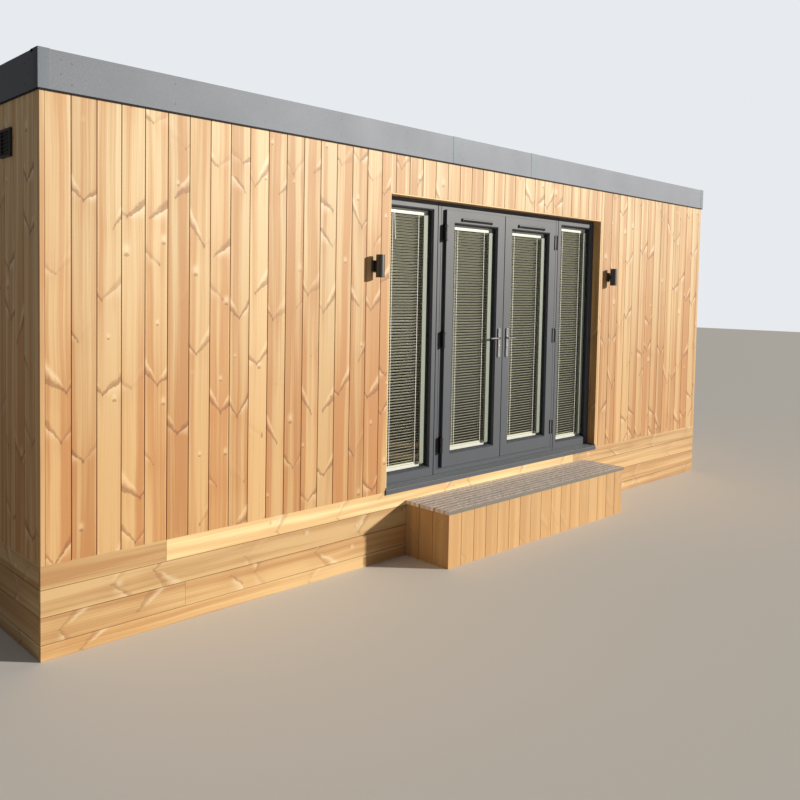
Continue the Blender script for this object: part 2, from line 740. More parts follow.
class Bench:
    """Shapes meshes with Blender's own operators."""

    SMOOTH_UNDER = math.radians(28.0)

    @staticmethod
    def pick(objects: Sequence[Object]) -> None:
        """Selects these objects alone and makes the first one active."""
        bpy.ops.object.select_all(action="DESELECT")
        for obj in objects:
            obj.select_set(True)
        bpy.context.view_layer.objects.active = objects[0]

    @staticmethod
    def leave() -> None:
        """Leaves edit mode."""
        bpy.ops.object.mode_set(mode="OBJECT")

    @staticmethod
    def bake() -> None:
        """Bakes the picked object's place into its mesh."""
        bpy.ops.object.transform_apply(location=True, rotation=True, scale=True)

    @staticmethod
    def fresh(name: str) -> Object:
        """Names the primitive that was just added and bakes its place into its mesh."""
        made = bpy.context.object
        made.name = name
        Bench.bake()
        return made

    @staticmethod
    def move(obj: Object, way: Place) -> Object:
        """Moves a mesh along a way."""
        Bench.pick([obj])
        obj.location = way
        Bench.bake()
        return obj

    @staticmethod
    def extrude(way: Place) -> None:
        """Draws the picked faces or edges out along a way."""
        bpy.ops.mesh.extrude_region()
        bpy.ops.transform.translate(value=way)

    @staticmethod
    def modifier(obj: Object, kind: str, **settings: object) -> None:
        """Adds a modifier and applies it.

        Args:
            obj: The object.
            kind: The modifier's type.
            **settings: Its properties.
        """
        Bench.pick([obj])
        bpy.ops.object.modifier_add(type=kind)
        for key, value in settings.items():
            setattr(obj.modifiers[-1], key, value)
        bpy.ops.object.modifier_apply(modifier=obj.modifiers[-1].name)

    @staticmethod
    def cube(name: str, low: Place, high: Place) -> Object:
        """Adds a block.

        Args:
            name: The object's name.
            low: Its lowest corner.
            high: Its highest corner.

        Returns:
            The block, with its place in its mesh.
        """
        low, high = Vector(low), Vector(high)
        bpy.ops.object.select_all(action="DESELECT")
        bpy.ops.mesh.primitive_cube_add(size=1.0, location=(low + high) / 2, scale=high - low)
        return Bench.fresh(name)

    @staticmethod
    def slab(name: str, rect: Rect, y0: float, y1: float, bevel: float = 0.0) -> Object:
        """Adds an upright slab between two depths, with its front edges rounded.

        Args:
            name: The object's name.
            rect: Its outline.
            y0: The front.
            y1: The back.
            bevel: Width of the rounding.

        Returns:
            The slab.
        """
        made = Bench.cube(name, (rect.x0, y0, rect.z0), (rect.x1, y1, rect.z1))
        if bevel:
            Bench.pick_edges(made, lambda a, b: max(a.y, b.y) < y0 + CLOSE)
            Bench.bevel(bevel)
        return made

    @staticmethod
    def rod(
        name: str, start: Place, end: Place, radius: float, sides: int = 24, bevel: float = 0.0
    ) -> Object:
        """Adds a round bar with softened ends.

        Args:
            name: The object's name.
            start: The middle of one end.
            end: The middle of the other end.
            radius: Its radius.
            sides: Its faces round the bar.
            bevel: Width of the softening.

        Returns:
            The bar, smooth along its side.
        """
        start, end = Vector(start), Vector(end)
        span = end - start
        bpy.ops.object.select_all(action="DESELECT")
        bpy.ops.mesh.primitive_cylinder_add(
            vertices=sides, radius=radius, depth=span.length, location=(start + end) / 2,
            rotation=span.to_track_quat("Z", "Y").to_euler(),
        )
        made = Bench.fresh(name)
        if bevel:
            way = span.normalized()
            Bench.pick_edges(made, lambda a, b: abs((a - b).dot(way)) < 1e-6)
            Bench.bevel(bevel)
        return made

    @staticmethod
    def bevel(width: float, segments: int = 2) -> None:
        """Rounds the selected edges and leaves edit mode."""
        bpy.ops.mesh.bevel(offset=width, segments=segments, affect="EDGES")
        Bench.leave()

    @staticmethod
    def pick_parts(obj: Object, mode: str, kind: str, wanted: Callable[..., bool]) -> None:
        """Selects the parts of a mesh that pass a test, and leaves the object in edit mode.

        Args:
            obj: The object.
            mode: Edit mode's word for such parts.
            kind: The mesh's word for them.
            wanted: The test on a part.
        """
        Bench.pick([obj])
        bpy.ops.object.mode_set(mode="EDIT")
        bpy.ops.mesh.select_mode(type=mode)
        bpy.ops.mesh.select_all(action="DESELECT")
        Bench.leave()
        for part in getattr(obj.data, kind):
            part.select = wanted(part)
        bpy.ops.object.mode_set(mode="EDIT")

    @staticmethod
    def pick_edges(obj: Object, wanted: Test) -> None:
        """Selects the edges whose two ends pass a test, and leaves the object in edit mode."""
        Bench.pick_parts(
            obj, "EDGE", "edges", lambda edge: wanted(*(obj.data.vertices[i].co for i in edge.vertices))
        )

    @staticmethod
    def pick_faces(obj: Object, wanted: Test) -> None:
        """Selects the faces whose middle and normal pass a test, and leaves the object in edit mode."""
        Bench.pick_parts(obj, "FACE", "polygons", lambda face: wanted(face.center, face.normal))

    @staticmethod
    def bevel_along(obj: Object, axis: Axis, width: float, segments: int = 2) -> None:
        """Rounds the edges that run along an axis.

        Args:
            obj: The object.
            axis: The axis.
            width: Width of the rounding.
            segments: Faces in the rounding.
        """
        others = [i for i in range(3) if i != axis.value]
        Bench.pick_edges(obj, lambda a, b: all(abs(a[i] - b[i]) < CLOSE for i in others))
        Bench.bevel(width, segments)

    @staticmethod
    def draw_in(obj: Object, rect: Rect, depth: float, outward: int, steps: Steps) -> None:
        """Draws one face of a slab in and out through a row of outlines, as a moulding is run round a frame.

        Args:
            obj: The slab.
            rect: The face's outline.
            depth: The face's depth.
            outward: The sign of its outward direction along Y.
            steps: The outline and depth of each step.
        """
        Bench.pick_faces(
            obj, lambda middle, normal: normal.y * outward > 0.9 and abs(middle.y - depth) < CLOSE
        )
        for target, new_depth in steps:
            bpy.ops.mesh.extrude_region()
            middle = rect.at(depth)
            scale = (target.width / rect.width, 1.0, target.height / rect.height)
            bpy.ops.transform.resize(value=scale, center_override=middle)
            bpy.ops.transform.translate(value=target.at(new_depth) - middle)
            rect, depth = target, new_depth
        Bench.leave()

    @staticmethod
    def ring(name: str, rect: Rect, y0: float, y1: float, front: Steps, back: Steps) -> Object:
        """Makes a frame whose front and back mouldings meet in an opening right through.

        Args:
            name: The object's name.
            rect: The outline of the blank.
            y0: The blank's front.
            y1: The blank's back.
            front: The steps of the front moulding, from the outside in.
            back: The steps of the back moulding, from the outside in.

        Returns:
            The frame.
        """
        made = Bench.slab(name, rect, y0, y1)
        Bench.draw_in(made, rect, y0, -1, front)
        Bench.draw_in(made, rect, y1, 1, back)
        near, far = (steps[-1][0].at(steps[-1][1]) for steps in (front, back))

        def closes(middle: Vector, normal: Vector) -> bool:
            """Tells the two faces that close the opening."""
            wanted = near if normal.y < 0 else far
            level = abs(normal.y) > 0.9 and abs(middle.y - wanted.y) < CLOSE
            return level and abs(middle.x - near.x) < 10 * CLOSE

        Bench.pick_faces(made, closes)
        bpy.ops.mesh.bridge_edge_loops()
        Bench.leave()
        return made

    @staticmethod
    def repeat(obj: Object, step: Place, count: int) -> None:
        """Repeats a mesh along a line, with the way from each copy to the next."""
        offset = {"use_relative_offset": False, "use_constant_offset": True, "constant_offset_displace": step}
        Bench.modifier(obj, "ARRAY", count=count, **offset)

    @staticmethod
    def turn(obj: Object, angle: float, axis: Axis, centre: Vector = NOWHERE) -> Object:
        """Turns a mesh about a point, by the right-hand rule."""
        obj.rotation_euler[axis.value] = angle
        return Bench.move(obj, centre - Matrix.Rotation(angle, 3, axis.name) @ centre)

    @staticmethod
    def copy(obj: Object, way: Place = NOWHERE) -> Object:
        """Copies a piece with its own mesh and moves the copy."""
        Bench.pick([obj])
        bpy.ops.object.duplicate()
        return Bench.move(bpy.context.object, way)

    @staticmethod
    def mirrored(obj: Object) -> Object:
        """Copies a piece to the other side of the middle."""
        made = Bench.copy(obj)
        made.scale.x = -1.0
        Bench.bake()
        bpy.ops.object.mode_set(mode="EDIT")
        bpy.ops.mesh.select_all(action="SELECT")
        bpy.ops.mesh.normals_make_consistent(inside=False)
        Bench.leave()
        return made

    @staticmethod
    def dress(obj: Object, material: Material) -> Object:
        """Gives a piece one finish."""
        obj.data.materials.clear()
        obj.data.materials.append(material)
        return obj

    @staticmethod
    def dress_where(piece: Object, material: Material, wanted: Test) -> None:
        """Gives some faces of a piece another finish.

        Args:
            piece: The piece, dressed already.
            material: The other finish.
            wanted: The test on a face's middle and normal.
        """
        piece.data.materials.append(material)
        place = len(piece.data.materials) - 1
        for face in piece.data.polygons:
            if wanted(face.center, face.normal):
                face.material_index = place

    @staticmethod
    def join(name: str, objects: Sequence[Object]) -> Object:
        """Joins objects into one piece.

        Args:
            name: The piece's name.
            objects: The objects.

        Returns:
            The piece.
        """
        Bench.pick(objects)
        if len(objects) > 1:
            bpy.ops.object.join()
        piece = bpy.context.object
        piece.name = name
        piece.data.name = name
        return piece

    @staticmethod
    def hand_over(piece: Object, body: str, slot: str, *nodes: str) -> Object:
        """Smooths a finished piece, fixes it to its body and reports it.

        Args:
            piece: The piece.
            body: The body that it rides on.
            slot: The material slot that it takes its finish from.
            *nodes: The frame's nodes that it stands for.

        Returns:
            The piece.
        """
        Bench.pick([piece])
        bpy.ops.object.shade_smooth_by_angle(angle=Bench.SMOOTH_UNDER)
        Bench.modifier(piece, "WEIGHTED_NORMAL", keep_sharp=True)
        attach(piece, body)
        if nodes:
            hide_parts(*nodes)
        LOG.info("%s on %s: %d faces", piece.name, body, len(piece.data.polygons))
        return piece


@dataclass
class BoardShop:
    """Cuts boards, rounds their long edges and marks each with its grain."""

    bevel: float = 0.0022
    seed: int = 11
    patterns: dict[tuple[float, ...], Object] = field(default_factory=dict)

    def __post_init__(self) -> None:
        """Seeds the draw of the boards' numbers."""
        self.draw = random.Random(self.seed)

    def board(self, low: Place, high: Place, along: Axis, through: Axis) -> Object:
        """Lays one board.

        Args:
            low: Its lowest corner.
            high: Its highest corner.
            along: The axis of its length.
            through: The axis of its thickness.

        Returns:
            The board, marked with its grain.
        """
        low, high = Vector(low), Vector(high)
        size = high - low
        key = (*(round(part, 5) for part in size), along.value)
        if key not in self.patterns:
            pattern = Bench.cube("pattern", (0, 0, 0), size)
            Bench.bevel_along(pattern, along, self.bevel)
            self.patterns[key] = pattern
        made = self.patterns[key].copy()
        made.data = made.data.copy()
        bpy.context.scene.collection.objects.link(made)
        made.data.transform(Matrix.Translation(low))
        self.mark(made, (low + high) / 2, along, through, self.draw.random())
        return made

    def mark(self, board: Object, centre: Vector, along: Axis, through: Axis, number: float) -> None:
        """Writes a board's grain and its own number into its mesh.

        Args:
            board: The board.
            centre: Its middle.
            along: The axis of its length.
            through: The axis of its thickness.
            number: The board's own number.
        """
        mesh = board.data
        points = np.empty(len(mesh.vertices) * 3, np.float32)
        mesh.vertices.foreach_get("co", points)
        points = points.reshape(-1, 3)
        across = 3 - along.value - through.value
        marks = np.stack(
            (points[:, across] - centre[across], points[:, along.value], points[:, through.value]), axis=1
        )
        grain = mesh.attributes.new("grain", "FLOAT_VECTOR", "POINT")
        grain.data.foreach_set("vector", marks.astype(np.float32).ravel())
        numbers = mesh.attributes.new("board", "FLOAT", "POINT")
        numbers.data.foreach_set("value", np.full(len(points), number, np.float32))

    def clear(self) -> None:
        """Removes the patterns."""
        for pattern in self.patterns.values():
            bpy.data.objects.remove(pattern)
        self.patterns.clear()


@dataclass
class Cladding:
    """Upright boards on one wall, tongued behind narrow joints."""

    shop: BoardShop
    paints: Paintbox
    cover: float = 0.135
    joint: float = 0.0044
    tongue_depth: float = 0.004
    set_in: float = 0.0005
    first_joint: Pair = (-0.0015, 0.0485)

    def build(self) -> None:
        """Builds the boards of every wall, with the same joint first on all nodes of one wall."""
        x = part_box("front_cladding_left")[0].x + self.first_joint[0]
        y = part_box("left_cladding")[0].y + self.first_joint[1]
        for part in ("left", "head", "right"):
            self.wall(f"front_cladding_{part}", Side.FRONT, x)
        self.wall("back_cladding", Side.BACK, x)
        self.wall("left_cladding", Side.LEFT, y)
        self.wall("right_cladding", Side.RIGHT, y)

    def wall(self, node: str, side: Side, first_joint: float) -> Object:
        """Builds the boards of one node.

        Args:
            node: The frame's sheet that they stand for.
            side: The side of the cabin.
            first_joint: The place of a joint along the wall.

        Returns:
            The boards as one piece.
        """
        low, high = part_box(node)
        run, depth = side.run.value, side.depth.value
        count = math.floor((low[run] - first_joint) / self.cover)
        start = first_joint + count * self.cover
        made = []
        while start < high[run] - self.joint:
            near = max(start + self.joint / 2, low[run])
            far = min(start + self.cover - self.joint / 2, high[run])
            if far - near > 2 * self.shop.bevel:
                a, b = low.copy(), high.copy()
                a[run], b[run] = near, far
                made.append(self.shop.board(a, b, Axis.Z, side.depth))
            start += self.cover
        back_low, back_high = low.copy(), high.copy()
        if side.outward < 0:
            back_low[depth] += self.tongue_depth
        else:
            back_high[depth] -= self.tongue_depth
        for axis in (Axis.X, Axis.Z):
            back_low[axis.value] += self.set_in if axis is not side.depth else 0.0
        tongues = Bench.dress(self.shop.board(back_low, back_high, Axis.Z, side.depth), self.paints.tongues)
        boards = [Bench.dress(board, self.paints.boards) for board in made]
        return Bench.hand_over(Bench.join(node + "_boards", [*boards, tongues]), "cabin", "cladding", node)


@dataclass
class Skirting:
    """Level boards from the cladding's foot down to the ground, with butt joints."""

    shop: BoardShop
    paints: Paintbox
    heights: tuple[float, ...] = (0.1235, 0.140, 0.140)
    joint: float = 0.003
    thickness: float = 0.02
    strip_w: float = 0.025
    butts: tuple[tuple[float, ...], ...] = ((0.70, 4.75), (3.0,), (0.82, 4.4), (2.2,))
    fresh: tuple[int, int] = (0, 1)

    def run(
        self, low: Vector, high: Vector, side: Side, butts: Sequence[Sequence[float]] = ((),),
        fresh: tuple[int, int] | None = None,
    ) -> list[Object]:
        """Lays the boards of one face.

        Args:
            low: The face's lowest corner.
            high: The face's highest corner.
            side: The side of the cabin.
            butts: For each row from the top down, the places of its butt joints along the wall.
            fresh: The row and place of a fresh, paler board.

        Returns:
            The boards.
        """
        axis = side.run.value
        made = []
        top = high.z
        rows = [*self.heights, 1.0]
        for row, height in enumerate(rows):
            bottom = max(top - height, low.z)
            ends = [low[axis], *sorted(butts[row % len(butts)]), high[axis]]
            for place, (near, far) in enumerate(zip(ends, ends[1:])):
                a, b = low.copy(), high.copy()
                a[axis] = near + (self.joint / 4 if near > low[axis] else 0.0)
                b[axis] = far - (self.joint / 4 if far < high[axis] else 0.0)
                a.z, b.z = bottom, top
                finish = self.paints.fresh if (row, place) == fresh else self.paints.skirting
                made.append(Bench.dress(self.shop.board(a, b, side.run, side.depth), finish))
            top = bottom - self.joint
            if top <= low.z:
                break
        return made

    def build(self) -> None:
        """Builds the boards of all four faces."""
        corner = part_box("front_cladding_left")[0].x - self.strip_w
        butts = [[corner + place for place in row] for row in self.butts]
        for node, side in (("front_skirt", Side.FRONT), ("back_skirt", Side.BACK)):
            self.gather(node, self.run(*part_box(node), side, butts, self.fresh))
        low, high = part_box("end_skirts")
        left_high, right_low = high.copy(), low.copy()
        left_high.x, right_low.x = low.x + self.thickness, high.x - self.thickness
        ends = [*self.run(low, left_high, Side.LEFT), *self.run(right_low, high, Side.RIGHT)]
        self.gather("end_skirts", ends)

    @staticmethod
    def gather(node: str, boards: Sequence[Object]) -> None:
        """Joins boards into the piece that stands for a node."""
        Bench.hand_over(Bench.join(node + "_boards", boards), "cabin", "skirting", node)


@dataclass
class StepRisers:
    """Short upright boards round the step, with the cladding's cover."""

    shop: BoardShop
    paints: Paintbox
    cover: float = 0.135
    joint: float = 0.003
    thickness: float = 0.02
    clear: float = 0.0005

    def spans(self, start: float, last: float) -> list[Pair]:
        """Returns both edges of each board between two places."""
        made = []
        while start < last - self.joint:
            made.append((start, min(start + self.cover - self.joint, last)))
            start += self.cover
        return made

    def build(self) -> Object:
        """Builds the boards of the step's front and ends."""
        low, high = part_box("step_boards")
        thick = self.thickness
        made = []
        for start, end in self.spans(low.x, high.x):
            near, far = (start, low.y, low.z), (end, low.y + thick, high.z)
            made.append(self.shop.board(near, far, Axis.Z, Axis.Y))
        for x in (low.x, high.x - thick):
            for start, end in self.spans(low.y + thick + self.clear, high.y):
                near, far = (x, start, low.z), (x + thick, end, high.z)
                made.append(self.shop.board(near, far, Axis.Z, Axis.X))
        piece = Bench.dress(Bench.join("step_riser_boards", made), self.paints.risers)
        return Bench.hand_over(piece, "cabin", "skirting", "step_boards")


@dataclass
class DoorSet:
    """The glazed doors between two side lights, drawn from the doorway's middle at the skirting's top."""

    paints: Paintbox
    half_open: float = 1.355
    reveal: float = 0.078
    sill_top: float = 0.030
    frame_top: float = 2.115
    frame_back: float = 0.148
    side_pane: Rect = Rect(-1.295, -0.835, 0.103, 2.036)
    coupling: Pair = (0.7775, 0.7825)
    door_opening: Rect = Rect(-0.684, 0.684, 0.103, 2.028)
    flange: Rect = Rect(-0.709, -0.003, 0.078, 2.053)
    flange_front: float = 0.055
    flange_back: float = 0.073
    body: Rect = Rect(-0.679, -0.013, 0.108, 2.023)
    leaf_back: float = 0.125
    pane: Rect = Rect(-0.611, -0.101, 0.186, 1.950)
    glass_in: float = 0.025
    glass_t: float = 0.028
    glass_edge: float = 0.012
    chamfer: float = 0.0015
    bead: float = 0.009
    bead_drop: float = 0.009
    shadow: float = 0.0018
    groove_in: float = 0.030
    groove: float = 0.003

    def __post_init__(self) -> None:
        """Finds the doorway in the frame."""
        low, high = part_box("door_frame")
        self.origin = Vector(((low.x + high.x) / 2, low.y - self.reveal, high.z - self.frame_top))

    def place(self, piece: Object) -> Object:
        """Moves a piece from the doorway's own measures to the frame's."""
        return Bench.move(piece, self.origin)

    def glazed_steps(self, pane: Rect, face: float, glass: float, inward: int) -> list[tuple[Rect, float]]:
        """Returns the steps of a shadow line, a sloping bead and the glass's rebate.

        Args:
            pane: The opening.
            face: Depth of the face.
            glass: Depth of the glass.
            inward: The sign of the way into the frame.

        Returns:
            The steps.
        """
        edge, bead = pane.grown(self.bead + self.shadow), pane.grown(self.bead)
        return [
            (edge, face),
            (edge, face + inward * self.shadow),
            (bead, face + inward * self.shadow),
            (bead, face + inward * 0.0005),
            (pane.grown(self.bead - 0.0008), face),
            (pane.grown(0.001), face + inward * self.bead_drop),
            (pane, face + inward * (self.bead_drop + 0.001)),
            (pane, glass),
            (pane.grown(self.glass_edge), glass),
        ]

    def gasket(self, pane: Rect, glass: float) -> Object:
        """Makes the black rubber seal in front of a pane."""
        seal = Bench.ring(
            "seal", pane.grown(0.0005), glass - 0.0042, glass + 0.001,
            [(pane.grown(-0.0045), glass - 0.0026), (pane.grown(-0.006), glass - 0.0004)],
            [(pane.grown(-0.006), glass + 0.001)],
        )
        return Bench.dress(seal, self.paints.rubber)

    def fixed_frame(self) -> Object:
        """Builds the side lights' frames, the doors' frame and the strips that couple them."""
        near, far, chamfer, pane = self.reveal, self.frame_back, self.chamfer, self.side_pane
        light_y = near + self.glass_in
        side = Rect(-self.half_open, -self.coupling[1], self.sill_top, self.frame_top)
        front = [(side.grown(-chamfer), near), *self.glazed_steps(pane, near, light_y, 1)]
        back = [(side.grown(-chamfer), far), *self.glazed_steps(pane, far, light_y + self.glass_t, -1)]
        light = Bench.ring("light", side, near + chamfer, far - chamfer, front, back)
        Bench.dress(light, self.paints.frames)
        light = Bench.join("light", [light, self.gasket(pane, light_y)])
        outer = Rect(-self.coupling[0], self.coupling[0], self.sill_top, self.frame_top)
        opening = self.door_opening
        strip = outer.grown(-self.groove_in)
        foot = strip.grown(-self.groove)
        front = [
            (outer.grown(-chamfer), near),
            (strip, near),
            (strip, near + self.groove),
            (foot, near + self.groove),
            (foot, near + 0.0006),
            (foot.grown(-0.0006), near),
            (opening.grown(chamfer), near),
            (opening, near + chamfer),
            (opening, far - 0.012),
        ]
        back = [(outer.grown(-chamfer), far), (opening.grown(chamfer), far), (opening, far - chamfer)]
        doors = Bench.ring("doors", outer, near + chamfer, far - chamfer, front, back)
        Bench.dress(doors, self.paints.frames)
        cover = Rect(-self.coupling[1] - 0.001, -self.coupling[0] + 0.001, self.sill_top, self.frame_top)
        strap = Bench.dress(Bench.slab("strap", cover, near + 0.006, far - 0.004), self.paints.rubber)
        parts = [light, Bench.mirrored(light), doors, strap, Bench.mirrored(strap)]
        piece = self.place(Bench.join("door_frame_mouldings", parts))
        return Bench.hand_over(piece, "cabin", "door_frame", "door_frame")


@dataclass
class Sill:
    """The ribbed sill that slopes out from under the doors to a nose over the skirting."""

    door_set: DoorSet
    nose: float = 0.010
    drop: float = 0.020
    fall: float = 0.015
    ribs: tuple[float, ...] = (0.014, 0.044)
    rib: Pair = (0.006, 0.0032)
    rib_in: float = 0.012

    def build(self) -> None:
        """Builds the sill."""
        d = self.door_set
        ends = (-d.half_open, d.half_open)
        body = Bench.cube("body", (ends[0], -self.nose, 0.0), (ends[1], d.frame_back, d.sill_top))
        Bench.pick([body])
        bpy.ops.object.mode_set(mode="EDIT")
        bpy.ops.mesh.select_all(action="SELECT")
        bpy.ops.mesh.bisect(plane_co=(0, d.reveal, 0), plane_no=(0, 1, 0))
        Bench.leave()
        Bench.pick_edges(
            body, lambda a, b: max(a.y, b.y) < CLOSE - self.nose and min(a.z, b.z) > d.sill_top - CLOSE
        )
        bpy.ops.transform.translate(value=(0, 0, -self.fall))
        Bench.leave()
        Bench.pick_edges(body, lambda a, b: max(a.y, b.y) < CLOSE - self.nose and min(a.z, b.z) > CLOSE)
        Bench.bevel(0.002)
        parts = [body, Bench.cube("lip", (ends[0], -self.nose, -self.drop), (ends[1], 0.0, 0.0005))]
        slope = self.fall / (d.reveal + self.nose)
        wide, high = self.rib
        for y in self.ribs:
            foot = Vector((0.0, y, d.sill_top - slope * (d.reveal - y)))
            low = Vector((ends[0] + self.rib_in, y - wide / 2, foot.z - 0.002))
            rib = Bench.cube("rib", low, (ends[1] - self.rib_in, y + wide / 2, foot.z + high))
            Bench.bevel_along(rib, Axis.X, 0.0008)
            Bench.turn(rib, math.atan(slope), Axis.X, foot)
            parts.append(rib)
        piece = Bench.dress(Bench.join("door_sill_profile", parts), d.paints.frames)
        Bench.dress_where(piece, d.paints.sill, lambda middle, normal: normal.z > 0.5)
        Bench.hand_over(d.place(piece), "cabin", "door_frame", "door_sill")


@dataclass
class DoorLeaves:
    """The two leaves with their seals, hinges, handles and air vents."""

    door_set: DoorSet
    hinge_x: float = -0.721
    hinge_y: float = 0.051
    hinge_zs: tuple[float, ...] = (0.253, 1.0655, 1.878)
    hinge_h: float = 0.125
    hinge_r: float = 0.011
    hinge_gap: float = 0.0005
    screw_in: float = 0.014
    handle_x: float = -0.052
    lever_z: float = 1.060
    plate: tuple[float, float, float] = (0.030, 0.010, 0.240)
    plate_drop: float = 0.038
    lock_drop: float = 0.070
    lever_l: float = 0.105
    lever_r: float = 0.008
    neck_l: float = 0.035
    bend: float = 0.014
    sunk: float = 0.004
    hood_l: float = 0.360
    hood_rise: float = 0.022
    lip: Pair = (0.013, 0.012)
    grille: Pair = (0.007, 0.013)
    fin_pitch: float = 0.006
    fin_t: float = 0.0016
    end_cap: float = 0.005

    def leaf(self) -> Object:
        """Builds the left leaf's mouldings and its seal."""
        d = self.door_set
        glass = d.flange_front + d.glass_in
        front = [
            (d.flange.grown(-d.chamfer), d.flange_front),
            *d.glazed_steps(d.pane, d.flange_front, glass, 1),
        ]
        back = [
            (d.body, d.flange_back),
            (d.body, d.leaf_back - d.chamfer),
            (d.body.grown(-d.chamfer), d.leaf_back),
            *d.glazed_steps(d.pane, d.leaf_back, glass + d.glass_t, -1),
        ]
        leaf = Bench.ring("leaf", d.flange, d.flange_front + d.chamfer, d.flange_back, front, back)
        Bench.dress(leaf, d.paints.frames)
        return Bench.join("leaf", [leaf, d.gasket(d.pane, glass)])

    def barrel(self, z0: float, z1: float) -> Object:
        """Makes part of a hinge's barrel with its rounded rims."""
        middle = Vector((self.hinge_x, self.hinge_y, 0.0))
        rod = Bench.rod(
            "barrel", middle + Vector((0, 0, z0)), middle + Vector((0, 0, z1)), self.hinge_r, 28, 0.0012
        )
        return Bench.dress(rod, self.door_set.paints.barrel)

    def hinge_halves(self, upper: bool) -> list[Object]:
        """Makes the halves of all three hinges that stay with the frame, or the ones that swing.

        Args:
            upper: True for the halves that swing, with the upper half of each barrel.

        Returns:
            The halves.
        """
        d = self.door_set
        made = []
        for z in self.hinge_zs:
            low, high = z - self.hinge_h / 2, z + self.hinge_h / 2
            if upper:
                face = self.hinge_y - 0.004
                plate = Rect(self.hinge_x + 0.004, d.flange.x0 + 0.014, low, high)
                strap = Bench.slab("strap", plate, face, d.flange_front + 0.001, 0.0012)
                made += [self.barrel(z + self.hinge_gap, high), Bench.dress(strap, d.paints.frames)]
                x = (self.hinge_x + self.hinge_r + plate.x1) / 2
                for screw in (low + self.screw_in, high - self.screw_in):
                    start, end = (x, face + 0.0008, screw), (x, face - 0.0009, screw)
                    head = Bench.rod("screw", start, end, 0.0032, 14, 0.0005)
                    made.append(Bench.dress(head, d.paints.black))
            else:
                plate = Rect(self.hinge_x - self.hinge_r + 0.004, self.hinge_x - 0.001, low, high)
                strap = Bench.slab("strap", plate, self.hinge_y + 0.004, d.reveal, 0.0015)
                made += [self.barrel(low, z - self.hinge_gap), Bench.dress(strap, d.paints.black)]
        return made

    def handle_plate(self, face: float, out: int) -> list[Object]:
        """Makes one long plate with its lock cylinder and screws.

        Args:
            face: Depth of the leaf's face.
            out: The sign of the way out of the leaf.

        Returns:
            The parts.
        """
        d = self.door_set
        width, thick, height = self.plate
        middle = self.lever_z - self.plate_drop
        low = Vector((self.handle_x - width / 2, min(face, face + out * thick), middle - height / 2))
        plate = Bench.cube("plate", low, low + Vector((width, thick, height)))
        Bench.bevel_along(plate, Axis.Y, width * 0.42, 6)
        front = face + out * thick
        Bench.pick_edges(plate, lambda a, b: abs(a.y - front) < CLOSE and abs(b.y - front) < CLOSE)
        Bench.bevel(0.0022, 3)
        parts = [Bench.dress(plate, d.paints.chrome)]
        lock = Vector((self.handle_x, front, self.lever_z - self.lock_drop))
        way = Vector((0, out * 1.0, 0))
        rose = Bench.rod("rose", lock - way * 0.001, lock + way * 0.0016, 0.0087, 28, 0.0006)
        parts.append(Bench.dress(rose, d.paints.steel))
        slot = lock.z - 0.013
        for name, rect, proud, finish in (
            ("tail", Rect(lock.x - 0.0045, lock.x + 0.0045, slot - 0.012, slot + 0.010), 0.0014, d.paints.steel),
            ("keyway", Rect.about(lock.x, lock.z, 0.0018, 0.0090), 0.0020, d.paints.rubber),
        ):
            parts.append(Bench.dress(Bench.slab(name, rect, *sorted((front, front + out * proud))), finish))
        for z in (middle - height / 2 + self.screw_in, middle + height / 2 - self.screw_in):
            at = Vector((self.handle_x, front, z))
            screw = Bench.rod("screw", at - way * 0.001, at + way * 0.0012, 0.0036, 16, 0.0006)
            parts.append(Bench.dress(screw, d.paints.steel))
        return parts

    def lever(self, face: float, out: int) -> list[Object]:
        """Makes one lever: a collar, a neck that bends through a right angle and a rounded grip.

        Args:
            face: Depth of the leaf's face.
            out: The sign of the way out of the leaf.

        Returns:
            The parts.
        """
        d = self.door_set
        bend, sunk = self.bend, self.sunk
        start = Vector((self.handle_x, face + out * self.plate[1], self.lever_z))
        way = Vector((0, out * 1.0, 0))
        bpy.ops.object.select_all(action="DESELECT")
        bpy.ops.mesh.primitive_circle_add(
            vertices=20, radius=self.lever_r, fill_type="NGON", location=start - way * sunk,
            rotation=(math.radians(90.0), 0, 0),
        )
        grip = Bench.fresh("grip")
        Bench.pick_faces(grip, lambda middle, normal: True)
        straight = self.neck_l - self.plate[1] + sunk - bend
        Bench.extrude(way * straight)
        corner = start + way * (straight - sunk) + Vector((-bend, 0, 0))
        bpy.ops.mesh.spin(steps=7, angle=math.radians(90.0) * out, center=corner, axis=(0, 0, 1))
        reach = self.lever_l - bend - self.lever_r * 0.6
        Bench.extrude((-reach, 0, 0))
        tip = corner + way * bend + Vector((-reach, 0, 0))
        for step, scale in ((0.55, 0.86), (0.35, 0.72)):
            Bench.extrude((-step * self.lever_r * 0.66, 0, 0))
            tip.x -= step * self.lever_r * 0.66
            bpy.ops.transform.resize(value=(1, scale, scale), center_override=tip)
        bpy.ops.mesh.select_all(action="SELECT")
        bpy.ops.mesh.remove_doubles(threshold=1e-6)
        bpy.ops.mesh.normals_make_consistent(inside=False)
        Bench.leave()
        collar = Bench.rod("collar", start - way * 0.0005, start + way * 0.006, 0.0125, 32, 0.0014)
        return [Bench.dress(grip, d.paints.chrome), Bench.dress(collar, d.paints.chrome)]

